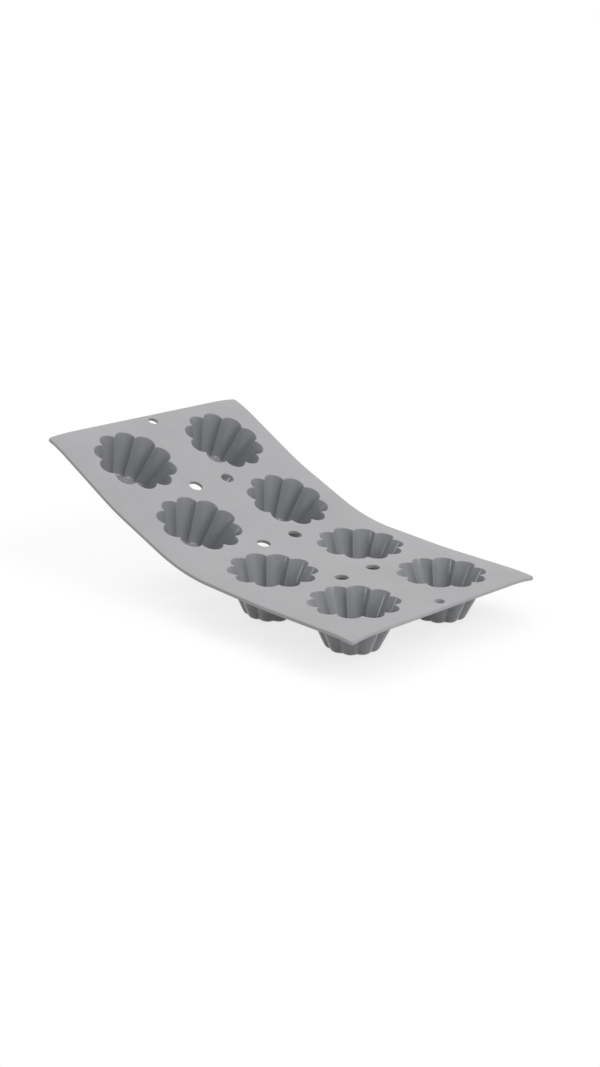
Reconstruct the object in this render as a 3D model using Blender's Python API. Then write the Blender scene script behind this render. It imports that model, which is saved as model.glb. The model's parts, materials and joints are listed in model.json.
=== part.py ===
"""Flexible silicone mould for eight fluted brioches.

One thin sheet carries two rows of four hanging cups. The sheet is modelled flat, in sheet
coordinates, and then laid along the curve that it takes when one end is lifted:

    u   along the sheet, from the lifted end to the end that lies level
    v   across the sheet, from the front row to the back row
    w   square to the sheet, zero on its upper face and negative below it

The sheet bends in the three webs between its columns of cups, so it is split there: four
stiff deck panels, each with two cups below it, and three webs that join them.
"""

import math

import bmesh
import bpy
from mathutils import Matrix, Vector

for leftover in list(bpy.data.objects):
    bpy.data.objects.remove(leftover, do_unlink=True)

MM = 0.001

# Sheet
SHEET_THICKNESS = 2.4 * MM
END_MARGIN = 12.35 * MM
SIDE_MARGIN = 16.0 * MM
CORNER_RADIUS = 2.0 * MM
COLUMNS = 4

# Cups
FLUTES = 10
RIM_LOBE_RADIUS = 30.0 * MM
RIM_CUSP_RADIUS = 24.75 * MM
FLOOR_LOBE_RADIUS = 16.4 * MM
FLOOR_CUSP_RADIUS = 13.1 * MM
CUP_INSIDE_DEPTH = 28.0 * MM
CUP_FLOOR_THICKNESS = 2.0 * MM
CUP_WALL = 1.8 * MM
INSIDE_FILLET = 2.5 * MM
OUTSIDE_FILLET = 3.5 * MM
ROW_GAP = 24.0 * MM
HALF_FLUTE = math.pi / FLUTES

# Webs between the columns, each with two round vents
VENT_DIAMETER = 9.5 * MM
VENT_EDGE = 0.75 * MM
VENT_FROM_MIDDLE = 15.0 * MM
WEB_LAND = 1.55 * MM

# Hole for a hook in the middle of each short end
HANGING_DIAMETER = 7.0 * MM
HANGING_EDGE = 4.0 * MM

# Pieces of the one moulding that meet keep this gap
MEETING_GAP = 0.3 * MM

# Curve of the sheet: slope of each panel, and how far each bend reaches to either side
PANEL_SLOPES = [math.radians(degrees) for degrees in (27.5, 21.5, 2.5, 0.0)]
BEND_REACH = [12.0 * MM, 24.0 * MM, 12.0 * MM]

# The free edges droop a little: how far at the edge, and from how far inside it
LIFTED_END_DROOP = 1.8 * MM
LEVEL_END_DROOP = 1.3 * MM
SIDE_DROOP = 1.8 * MM
END_DROOP_REACH = 20.0 * MM
SIDE_DROOP_REACH = 22.0 * MM

# Facets
LOBE_SEGMENTS = 6
FILLET_SEGMENTS = 2
HOLE_SEGMENTS = 16
CORNER_SEGMENTS = 3
DROOP_STEPS = 2
BEND_STEPS = 2


def lobe_circle(lobe_radius, cusp_radius):
    """The circle that a lobe is part of: how far out its centre lies, and its radius."""
    half_chord = cusp_radius * math.sin(HALF_FLUTE)
    rise = lobe_radius - cusp_radius * math.cos(HALF_FLUTE)
    radius = (half_chord**2 + rise**2) / (2 * rise)
    return lobe_radius - radius, radius


def flute_outline(lobe_radius, cusp_radius, outwards=0.0):
    """Points round a cup at one depth: circular lobes that meet in cusps.

    A cusp lies on the line along the sheet at either side of the cup. The lobes can be
    moved outwards, square to themselves, which is how the wall gets its thickness.
    """
    centre, radius = lobe_circle(lobe_radius, cusp_radius)
    radius += outwards
    cusp = centre * math.cos(HALF_FLUTE) + math.sqrt(
        radius**2 - (centre * math.sin(HALF_FLUTE)) ** 2
    )
    sweep = math.atan2(cusp * math.sin(HALF_FLUTE), cusp * math.cos(HALF_FLUTE) - centre)
    points = []
    for flute in range(FLUTES):
        middle = Matrix.Rotation((2 * flute + 1) * HALF_FLUTE, 2)
        for step in range(LOBE_SEGMENTS):
            angle = sweep * (2 * step / LOBE_SEGMENTS - 1)
            across = Vector((centre + radius * math.cos(angle), radius * math.sin(angle)))
            points.append(middle @ across)
    return points


def cup_outline(depth, inset=0.0, outwards=0.0):
    """The outline of a cup's cavity at a depth below the sheet's upper face."""
    share = depth / CUP_INSIDE_DEPTH
    lobe_radius = RIM_LOBE_RADIUS + (FLOOR_LOBE_RADIUS - RIM_LOBE_RADIUS) * share
    cusp_radius = RIM_CUSP_RADIUS + (FLOOR_CUSP_RADIUS - RIM_CUSP_RADIUS) * share
    return flute_outline(lobe_radius - inset, cusp_radius - inset, outwards)


def rim_reach(direction):
    """How far a cup's rim reaches from its middle in a direction of the sheet."""
    centre, radius = lobe_circle(RIM_LOBE_RADIUS, RIM_CUSP_RADIUS)
    middles = [(2 * flute + 1) * HALF_FLUTE for flute in range(FLUTES)]
    return radius + centre * max(math.cos(middle - direction) for middle in middles)


# Places that follow from the sizes above
RIM_REACH_ALONG = rim_reach(0.0)
RIM_REACH_ACROSS = rim_reach(math.pi / 2)
CUP_OUTSIDE_DEPTH = CUP_INSIDE_DEPTH + CUP_FLOOR_THICKNESS
WEB_WIDTH = VENT_DIAMETER + 2 * VENT_EDGE
COLUMN_GAP = WEB_WIDTH + 2 * (MEETING_GAP + WEB_LAND)
COLUMN_PITCH = 2 * RIM_REACH_ALONG + COLUMN_GAP
FIRST_COLUMN = END_MARGIN + RIM_REACH_ALONG
SHEET_LENGTH = 2 * FIRST_COLUMN + (COLUMNS - 1) * COLUMN_PITCH
ROW_OFFSET = RIM_REACH_ACROSS + ROW_GAP / 2
HALF_WIDTH = ROW_OFFSET + RIM_REACH_ACROSS + SIDE_MARGIN
COLUMN_CENTRES = [FIRST_COLUMN + column * COLUMN_PITCH for column in range(COLUMNS)]
BEND_LINES = [centre + COLUMN_PITCH / 2 for centre in COLUMN_CENTRES[:-1]]
HANGING_INSET = HANGING_EDGE + HANGING_DIAMETER / 2


def curve_stretches():
    """The sheet's curve as straight stretches and arcs, from the lifted end on.

    Each stretch is where it starts along the sheet, its first point in the upright plane,
    its slope there and how fast the slope falls.
    """
    ends = [(0.0, PANEL_SLOPES[0], 0.0)]
    for bend, line in enumerate(BEND_LINES):
        reach = BEND_REACH[bend]
        before, after = PANEL_SLOPES[bend], PANEL_SLOPES[bend + 1]
        ends.append((line - reach, before, (before - after) / (2 * reach)))
        ends.append((line + reach, after, 0.0))
    stretches = []
    along, height = 0.0, 0.0
    for index, (start, slope, fall) in enumerate(ends):
        stretches.append((start, along, height, slope, fall))
        if index + 1 < len(ends):
            along, height, slope = follow(stretches[-1], ends[index + 1][0])
    return stretches


def follow(stretch, u):
    """Where a stretch of the curve has come to at u: along, height and slope."""
    start, along, height, slope, fall = stretch
    length = u - start
    if abs(fall) < 1e-9:
        return along + length * math.cos(slope), height - length * math.sin(slope), slope
    end_slope = slope - fall * length
    return (
        along + (math.sin(slope) - math.sin(end_slope)) / fall,
        height + (math.cos(slope) - math.cos(end_slope)) / fall,
        end_slope,
    )


STRETCHES = curve_stretches()


def droop(u, v):
    """How far the sheet hangs down at a place near its free edges."""
    from_lifted_end = max(0.0, END_DROOP_REACH - u) / END_DROOP_REACH
    from_level_end = max(0.0, END_DROOP_REACH - (SHEET_LENGTH - u)) / END_DROOP_REACH
    from_side = max(0.0, SIDE_DROOP_REACH - (HALF_WIDTH - abs(v))) / SIDE_DROOP_REACH
    return (
        LIFTED_END_DROOP * from_lifted_end**2
        + LEVEL_END_DROOP * from_level_end**2
        + SIDE_DROOP * from_side**2
    )


def laid(u, v, w):
    """The point in space of a place in sheet coordinates."""
    stretch = [each for each in STRETCHES if each[0] <= max(u, 0.0)][-1]
    along, height, slope = follow(stretch, u)
    w -= droop(u, v)
    return Vector((along + w * math.sin(slope), v, height + w * math.cos(slope)))


def frame_at(u, v, w):
    """Placement of a piece: its origin at a place of the sheet, tilted with the sheet."""
    stretch = [each for each in STRETCHES if each[0] <= u][-1]
    slope = follow(stretch, u)[2]
    return Matrix.Translation(laid(u, v, w)) @ Matrix.Rotation(slope, 4, "Y")


def silicone(name, roughness):
    """Platinum-cured silicone, dyed a neutral mid grey."""
    material = bpy.data.materials.new(name)
    material.use_nodes = True
    shader = material.node_tree.nodes["Principled BSDF"]
    shader.inputs["Base Color"].default_value = (0.36, 0.36, 0.37, 1.0)
    shader.inputs["Roughness"].default_value = roughness
    shader.inputs["Metallic"].default_value = 0.0
    return material


def add_piece(name, mesh_data, frame, parent, parent_frame, material):
    """Lay the flat mesh along the sheet's curve and store it in the piece's own frame."""
    for vertex in mesh_data.verts:
        vertex.co = laid(*vertex.co)
    mesh_data.transform(frame.inverted())
    bmesh.ops.triangulate(mesh_data, faces=mesh_data.faces[:])
    bmesh.ops.recalc_face_normals(mesh_data, faces=mesh_data.faces[:])
    mesh = bpy.data.meshes.new(name)
    mesh_data.to_mesh(mesh)
    mesh_data.free()
    mesh.materials.append(material)
    mesh.shade_smooth()
    mesh.set_sharp_from_angle(angle=math.radians(30))
    piece = bpy.data.objects.new(name, mesh)
    bpy.context.collection.objects.link(piece)
    piece.parent = parent
    piece.matrix_local = parent_frame.inverted() @ frame
    return piece


def add_axis(name, frame, parent, parent_frame):
    """An empty on the line that a panel and all beyond it turn about."""
    axis = bpy.data.objects.new(name, None)
    axis.empty_display_size = 10 * MM
    bpy.context.collection.objects.link(axis)
    axis.parent = parent
    axis.matrix_local = parent_frame.inverted() @ frame
    return axis


def circle(radius, u, v):
    """Points round a hole through the sheet."""
    step = 2 * math.pi / HOLE_SEGMENTS
    turns = [(index + 0.5) * step for index in range(HOLE_SEGMENTS)]
    return [Vector((u + radius * math.cos(t), v + radius * math.sin(t))) for t in turns]


def rectangle(low_u, high_u, round_low, round_high):
    """Outline of a length of the sheet, with its free corners rounded."""
    corners = (
        (high_u, HALF_WIDTH, 0, round_high),
        (low_u, HALF_WIDTH, 90, round_low),
        (low_u, -HALF_WIDTH, 180, round_low),
        (high_u, -HALF_WIDTH, 270, round_high),
    )
    points = []
    for u, v, start, rounded in corners:
        if not rounded:
            points.append(Vector((u, v)))
            continue
        inward_u = -CORNER_RADIUS if u == high_u else CORNER_RADIUS
        inward_v = -CORNER_RADIUS if v > 0 else CORNER_RADIUS
        for step in range(CORNER_SEGMENTS + 1):
            turn = math.radians(start + 90 * step / CORNER_SEGMENTS)
            across = Vector((math.cos(turn), math.sin(turn))) * CORNER_RADIUS
            points.append(Vector((u + inward_u, v + inward_v)) + across)
    return points


def band(mesh_data, upper, lower):
    """Faces between two rings with the same number of points."""
    count = len(upper)
    for index in range(count):
        after = (index + 1) % count
        mesh_data.faces.new((upper[index], upper[after], lower[after], lower[index]))


def sheet_solid(loops, cuts_u, cuts_v):
    """A flat length of the sheet with its openings.

    loops pairs each outline on the upper face with the one below it, the outer edge and
    every opening. The cuts are lines along which the faces are split so that they can
    follow the curve and the drooping edges.
    """
    solid = bmesh.new()
    upper_edges, lower_edges = [], []
    for above, below in loops:
        rings = []
        for outline, w, edges in ((above, 0.0, upper_edges), (below, -SHEET_THICKNESS, lower_edges)):
            ring = [solid.verts.new((point.x, point.y, w)) for point in outline]
            rings.append(ring)
            for index, vertex in enumerate(ring):
                edges.append(solid.edges.new((vertex, ring[(index + 1) % len(ring)])))
        band(solid, *rings)
    bmesh.ops.triangle_fill(solid, use_beauty=True, edges=upper_edges)
    bmesh.ops.triangle_fill(solid, use_beauty=True, edges=lower_edges)
    for axis, cuts in ((Vector((1, 0, 0)), cuts_u), (Vector((0, 1, 0)), cuts_v)):
        for cut in cuts:
            geometry = solid.verts[:] + solid.edges[:] + solid.faces[:]
            bmesh.ops.bisect_plane(
                solid, geom=geometry, dist=1e-7, plane_co=axis * cut, plane_no=axis
            )
    return solid


def side_cuts():
    """Lines along the two long edges where the droop starts and steepens."""
    start = HALF_WIDTH - SIDE_DROOP_REACH
    steps = [start + SIDE_DROOP_REACH * step / DROOP_STEPS for step in range(DROOP_STEPS)]
    return [sign * cut for cut in steps for sign in (-1, 1)]


def panel_cuts(column, low_u, high_u):
    """Lines across a deck panel where its slope changes."""
    cuts = []
    if column > 0:
        line, reach = BEND_LINES[column - 1], BEND_REACH[column - 1]
        cuts += [line + reach * (step + 1) / BEND_STEPS for step in range(BEND_STEPS)]
    if column < COLUMNS - 1:
        line, reach = BEND_LINES[column], BEND_REACH[column]
        cuts += [line - reach * (step + 1) / BEND_STEPS for step in range(BEND_STEPS)]
    ends = [END_DROOP_REACH * (step + 1) / DROOP_STEPS for step in range(DROOP_STEPS)]
    if column == 0:
        cuts += ends
    if column == COLUMNS - 1:
        cuts += [SHEET_LENGTH - end for end in ends]
    return [cut for cut in cuts if low_u < cut < high_u]


def deck_panel(column):
    """A length of the sheet round one column of cups, flat, with the cups' mouths open."""
    low_u, high_u = 0.0, SHEET_LENGTH
    if column > 0:
        low_u = BEND_LINES[column - 1] + WEB_WIDTH / 2 + MEETING_GAP
    if column < COLUMNS - 1:
        high_u = BEND_LINES[column] - WEB_WIDTH / 2 - MEETING_GAP
    edge = rectangle(low_u, high_u, column == 0, column == COLUMNS - 1)
    loops = [(edge, edge)]
    for v in (-ROW_OFFSET, ROW_OFFSET):
        middle = Vector((COLUMN_CENTRES[column], v))
        above = [middle + point for point in cup_outline(0.0)]
        below = [middle + point for point in cup_outline(SHEET_THICKNESS)]
        loops.append((above, below))
    hanging_places = {0: HANGING_INSET, COLUMNS - 1: SHEET_LENGTH - HANGING_INSET}
    if column in hanging_places:
        hole = circle(HANGING_DIAMETER / 2, hanging_places[column], 0.0)
        loops.append((hole, hole))
    return sheet_solid(loops, panel_cuts(column, low_u, high_u), side_cuts())


def web(bend):
    """The flexing strip between two columns, flat, with its two vents."""
    line = BEND_LINES[bend]
    edge = rectangle(line - WEB_WIDTH / 2, line + WEB_WIDTH / 2, False, False)
    loops = [(edge, edge)]
    for v in (-VENT_FROM_MIDDLE, VENT_FROM_MIDDLE):
        vent = circle(VENT_DIAMETER / 2, line, v)
        loops.append((vent, vent))
    return sheet_solid(loops, [line], side_cuts())


def cup_rings():
    """The cup's section as rings, from the middle of its underside to that of its floor."""
    rings = []
    for step in range(FILLET_SEGMENTS, -1, -1):
        turn = math.pi / 2 * step / FILLET_SEGMENTS
        depth = CUP_OUTSIDE_DEPTH - OUTSIDE_FILLET * (1 - math.sin(turn))
        inset = OUTSIDE_FILLET * (1 - math.cos(turn))
        rings.append((depth, inset, CUP_WALL))
    top = SHEET_THICKNESS + MEETING_GAP
    rings.append((top, 0.0, CUP_WALL))
    rings.append((top, 0.0, 0.0))
    for step in range(FILLET_SEGMENTS + 1):
        turn = math.pi / 2 * step / FILLET_SEGMENTS
        depth = CUP_INSIDE_DEPTH - INSIDE_FILLET * (1 - math.sin(turn))
        inset = INSIDE_FILLET * (1 - math.cos(turn))
        rings.append((depth, inset, 0.0))
    return rings


def cup(column, row_offset):
    """One fluted cup, open at the top, that hangs from the underside of the sheet."""
    solid = bmesh.new()
    middle = Vector((COLUMN_CENTRES[column], row_offset))
    rings = []
    for depth, inset, outwards in cup_rings():
        outline = [middle + point for point in cup_outline(depth, inset, outwards)]
        rings.append([solid.verts.new((point.x, point.y, -depth)) for point in outline])
    for first, second in zip(rings, rings[1:]):
        band(solid, second, first)
    for ring, depth in ((rings[0], CUP_OUTSIDE_DEPTH), (rings[-1], CUP_INSIDE_DEPTH)):
        centre = solid.verts.new((middle.x, middle.y, -depth))
        for index, vertex in enumerate(ring):
            solid.faces.new((vertex, ring[(index + 1) % len(ring)], centre))
    return solid


def stand_on_ground(root, pieces):
    """Move the mould so that its box stands centred on the origin."""
    bpy.context.view_layer.update()
    points = [piece.matrix_world @ v.co for piece in pieces for v in piece.data.vertices]
    low = Vector([min(point[axis] for point in points) for axis in range(3)])
    high = Vector([max(point[axis] for point in points) for axis in range(3)])
    root.location = (-(low.x + high.x) / 2, -(low.y + high.y) / 2, -low.z)
    bpy.context.view_layer.update()


def build():
    """Make every piece and hang it from the axis that it turns about.

    The third column is the one that stays put. The lifted end hangs from it in two steps,
    and the last column in one.
    """
    upright = Matrix.Identity(4)
    root = add_axis("mould_frame", upright, None, upright)
    axes, frames = [root] * COLUMNS, [upright] * COLUMNS
    for column, bend, carrier in ((1, 1, 2), (0, 0, 1), (3, 2, 2)):
        frames[column] = frame_at(BEND_LINES[bend], 0.0, -SHEET_THICKNESS / 2)
        name = f"bend_axis_{bend + 1}"
        axes[column] = add_axis(name, frames[column], axes[carrier], frames[carrier])

    deck_silicone = silicone("deck_silicone", 0.5)
    web_silicone = silicone("web_silicone", 0.5)
    cup_silicone = silicone("cup_silicone", 0.45)
    pieces = []
    for column in range(COLUMNS):
        hung = (axes[column], frames[column])
        centre = COLUMN_CENTRES[column]
        pieces.append(
            add_piece(
                f"deck_panel_{column + 1}",
                deck_panel(column),
                frame_at(centre, 0.0, 0.0),
                *hung,
                deck_silicone,
            )
        )
        for row, v in (("front", -ROW_OFFSET), ("back", ROW_OFFSET)):
            pieces.append(
                add_piece(
                    f"cup_{row}_{column + 1}",
                    cup(column, v),
                    frame_at(centre, v, 0.0),
                    *hung,
                    cup_silicone,
                )
            )
    for bend, column in enumerate((0, 1, 3)):
        pieces.append(
            add_piece(
                f"web_{bend + 1}",
                web(bend),
                frame_at(BEND_LINES[bend], 0.0, 0.0),
                axes[column],
                frames[column],
                web_silicone,
            )
        )
    stand_on_ground(root, pieces)


build()
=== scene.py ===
"""The looks of a flexible silicone mould for eight fluted brioches.

Each piece is modelled flat, in the coordinates of the flat sheet, and then laid along the
curve that the sheet takes with one end lifted:

    u   along the sheet, from the lifted end to the end that lies level
    v   across the sheet, from the front row to the back row
    w   square to the sheet, zero on its upper face and negative below it

The real mould is one moulding. The pieces therefore meet without a gap, their borders share
the same points, and their shading is worked out in the flat state, so no seam shows.
"""

import json
import logging
import math
from collections.abc import Iterable
from dataclasses import dataclass
from enum import Enum

import bmesh
import bpy
import numpy as np
from mathutils import Matrix, Vector, geometry


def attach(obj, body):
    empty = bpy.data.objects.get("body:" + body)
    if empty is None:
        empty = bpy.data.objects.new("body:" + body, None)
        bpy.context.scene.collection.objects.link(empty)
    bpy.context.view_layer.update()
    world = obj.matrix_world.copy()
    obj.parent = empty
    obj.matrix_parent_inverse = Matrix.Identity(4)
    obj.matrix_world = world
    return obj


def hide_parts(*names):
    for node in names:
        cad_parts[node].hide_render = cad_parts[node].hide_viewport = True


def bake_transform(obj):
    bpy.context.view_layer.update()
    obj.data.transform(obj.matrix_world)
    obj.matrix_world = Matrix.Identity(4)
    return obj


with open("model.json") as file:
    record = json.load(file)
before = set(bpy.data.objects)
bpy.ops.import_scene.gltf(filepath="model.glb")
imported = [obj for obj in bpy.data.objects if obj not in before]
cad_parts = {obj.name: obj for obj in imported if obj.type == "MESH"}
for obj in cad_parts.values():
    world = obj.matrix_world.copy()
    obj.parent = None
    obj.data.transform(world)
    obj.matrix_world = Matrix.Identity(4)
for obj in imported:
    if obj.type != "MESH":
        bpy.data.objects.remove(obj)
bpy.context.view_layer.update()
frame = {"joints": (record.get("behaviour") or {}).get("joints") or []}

log = logging.getLogger("brioche_mould")

MM = 0.001
WELD = 0.01 * MM
FLUTE_ATTRIBUTE = "flute_run"
WHITE = "FFFFFF"
# Blender's noise seldom leaves this range, so the range is what gets stretched.
NOISE_RANGE = {"From Min": 0.3, "From Max": 0.7}
# Lengths and products of lengths below this count as nothing, in metres or square metres.
NOTHING = 1e-12


class Row(Enum):
    """The two rows of cups, by the side of the sheet that they are on."""

    FRONT = -1
    BACK = 1


def linear(hex_colour: str) -> tuple[float, float, float, float]:
    """Turn an sRGB hex colour into linear light.

    Args:
        hex_colour: Six hex digits, red first.

    Returns:
        Linear red, green and blue, and an alpha of one.
    """
    shares = [int(hex_colour[place : place + 2], 16) / 255 for place in (0, 2, 4)]
    red, green, blue = (
        share / 12.92 if share <= 0.04045 else ((share + 0.055) / 1.055) ** 2.4
        for share in shares
    )
    return red, green, blue, 1.0


def add_node(
    tree: bpy.types.NodeTree,
    kind: str,
    inputs: dict[str | int, object] | None = None,
    **settings: object,
) -> bpy.types.Node:
    """Add a node, set its own settings, and fill its inputs.

    Args:
        tree: The material's or the geometry's node tree.
        kind: The node's type.
        inputs: For each input, by name or number, its value or the socket that feeds it.
        settings: The node's own settings.

    Returns:
        The node.
    """
    node = tree.nodes.new(kind)
    for name, value in settings.items():
        setattr(node, name, value)
    for key, value in (inputs or {}).items():
        if isinstance(value, bpy.types.NodeSocket):
            tree.links.new(value, node.inputs[key])
        else:
            node.inputs[key].default_value = value
    return node


@dataclass(frozen=True)
class FluteShape:
    """Plan of a cup's cavity: round lobes that meet in narrow ridges and taper to the floor."""

    lobes: int = 10
    rim_lobe: float = 30.0 * MM
    rim_cusp: float = 24.75 * MM
    floor_lobe: float = 16.4 * MM
    floor_cusp: float = 13.1 * MM
    depth: float = 28.0 * MM
    lobe_steps: int = 14
    ridge_steps: int = 3

    @property
    def half_flute(self) -> float:
        """Half of the angle that one lobe takes up."""
        return math.pi / self.lobes

    @property
    def lean(self) -> float:
        """The wall's angle from upright, at the middle of a lobe."""
        return math.atan((self.rim_lobe - self.floor_lobe) / self.depth)

    def lobe_circle(self, depth: float) -> tuple[float, float]:
        """Find the circle that a lobe is part of.

        Args:
            depth: Depth below the sheet's upper face.

        Returns:
            How far out the circle's centre lies, and its radius.
        """
        share = depth / self.depth
        lobe = self.rim_lobe + (self.floor_lobe - self.rim_lobe) * share
        cusp = self.rim_cusp + (self.floor_cusp - self.rim_cusp) * share
        half_chord = cusp * math.sin(self.half_flute)
        rise = lobe - cusp * math.cos(self.half_flute)
        radius = (half_chord**2 + rise**2) / (2 * rise)
        return lobe - radius, radius

    def one_lobe(self, depth: float, outwards: float, ridge: float) -> np.ndarray:
        """Points of one lobe, from the middle of one ridge to the middle of the next.

        Args:
            depth: Depth below the sheet's upper face.
            outwards: How far the outline is moved out, square to itself.
            ridge: Radius that rounds the ridge between two lobes.

        Returns:
            Points in plan, with the lobe's middle along the first axis.
        """
        centre, radius = self.lobe_circle(depth)
        radius += outwards
        half = self.half_flute
        ridge_distance = centre * math.cos(half) + math.sqrt(
            (radius + ridge) ** 2 - (centre * math.sin(half)) ** 2
        )
        ridge_u = ridge_distance * math.cos(half)
        ridge_v = ridge_distance * math.sin(half)
        sweep = math.atan2(ridge_v, ridge_u - centre)
        lobe_turns = np.linspace(-sweep, sweep, self.lobe_steps + 1)
        ridge_turns = np.linspace(half + math.pi, sweep + math.pi, self.ridge_steps + 1)[:-1]
        before = np.stack(
            [ridge_u + ridge * np.cos(ridge_turns), -ridge_v - ridge * np.sin(ridge_turns)], 1
        )
        lobe = np.stack([centre + radius * np.cos(lobe_turns), radius * np.sin(lobe_turns)], 1)
        after = before[::-1] * (1, -1)
        return np.concatenate([before, lobe, after])

    def outline(self, depth: float, outwards: float, ridge: float) -> np.ndarray:
        """Points all round the cavity.

        Args:
            depth: Depth below the sheet's upper face.
            outwards: How far the outline is moved out, square to itself.
            ridge: Radius that rounds the ridges between the lobes.

        Returns:
            Points in plan, as `one_lobe` gives them for each lobe in turn.
        """
        lobe = self.one_lobe(depth, outwards, ridge)[:-1]
        turned = []
        for flute in range(self.lobes):
            turn = (2 * flute + 1) * self.half_flute
            cosine, sine = math.cos(turn), math.sin(turn)
            turned.append(lobe @ np.array([[cosine, sine], [-sine, cosine]]))
        return np.concatenate(turned)

    def reach(self, direction: float) -> float:
        """How far the rim reaches from the cup's middle.

        Args:
            direction: A direction of the sheet, as an angle from its length.

        Returns:
            The distance to the outermost point in that direction.
        """
        centre, radius = self.lobe_circle(0.0)
        middles = [(2 * flute + 1) * self.half_flute for flute in range(self.lobes)]
        return radius + centre * max(math.cos(middle - direction) for middle in middles)


@dataclass(frozen=True)
class SheetPlan:
    """Sizes of the flat sheet, and the places on it that follow from them.

    `vent_edge` is what a web has beside each vent, `web_land` what a panel has between a web
    and the nearest rims, and `meeting_gap` what the CAD leaves between two solids.
    """

    flutes: FluteShape = FluteShape()
    thickness: float = 2.4 * MM
    end_margin: float = 12.35 * MM
    side_margin: float = 16.0 * MM
    corner: float = 2.0 * MM
    columns: int = 4
    row_gap: float = 24.0 * MM
    vent_diameter: float = 9.5 * MM
    vent_edge: float = 0.75 * MM
    vent_from_middle: float = 15.0 * MM
    web_land: float = 1.55 * MM
    hanging_diameter: float = 7.0 * MM
    hanging_edge: float = 4.0 * MM
    meeting_gap: float = 0.3 * MM

    @property
    def web_width(self) -> float:
        """Width of a web in the CAD, along the sheet."""
        return self.vent_diameter + 2 * self.vent_edge

    @property
    def seam(self) -> float:
        """How far a web's borders lie from its bend line: in the middle of the CAD's gap."""
        return (self.web_width + self.meeting_gap) / 2

    @property
    def column_pitch(self) -> float:
        """Distance between two columns of cups."""
        gap = self.web_width + 2 * (self.meeting_gap + self.web_land)
        return 2 * self.flutes.reach(0.0) + gap

    @property
    def column_centres(self) -> list[float]:
        """Where the middle of each column lies along the sheet."""
        first = self.end_margin + self.flutes.reach(0.0)
        return [first + column * self.column_pitch for column in range(self.columns)]

    @property
    def bend_lines(self) -> list[float]:
        """Where the middle of each web lies along the sheet."""
        return [centre + self.column_pitch / 2 for centre in self.column_centres[:-1]]

    @property
    def length(self) -> float:
        """Length of the flat sheet."""
        return self.column_centres[0] + self.column_centres[-1]

    @property
    def row_offset(self) -> float:
        """Distance from the sheet's middle line to the middle of a cup."""
        return self.flutes.reach(math.pi / 2) + self.row_gap / 2

    @property
    def half_width(self) -> float:
        """Half of the sheet's width."""
        return self.row_offset + self.flutes.reach(math.pi / 2) + self.side_margin

    @property
    def hanging_inset(self) -> float:
        """Distance from a short end to the middle of its hanging hole."""
        return self.hanging_edge + self.hanging_diameter / 2


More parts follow.
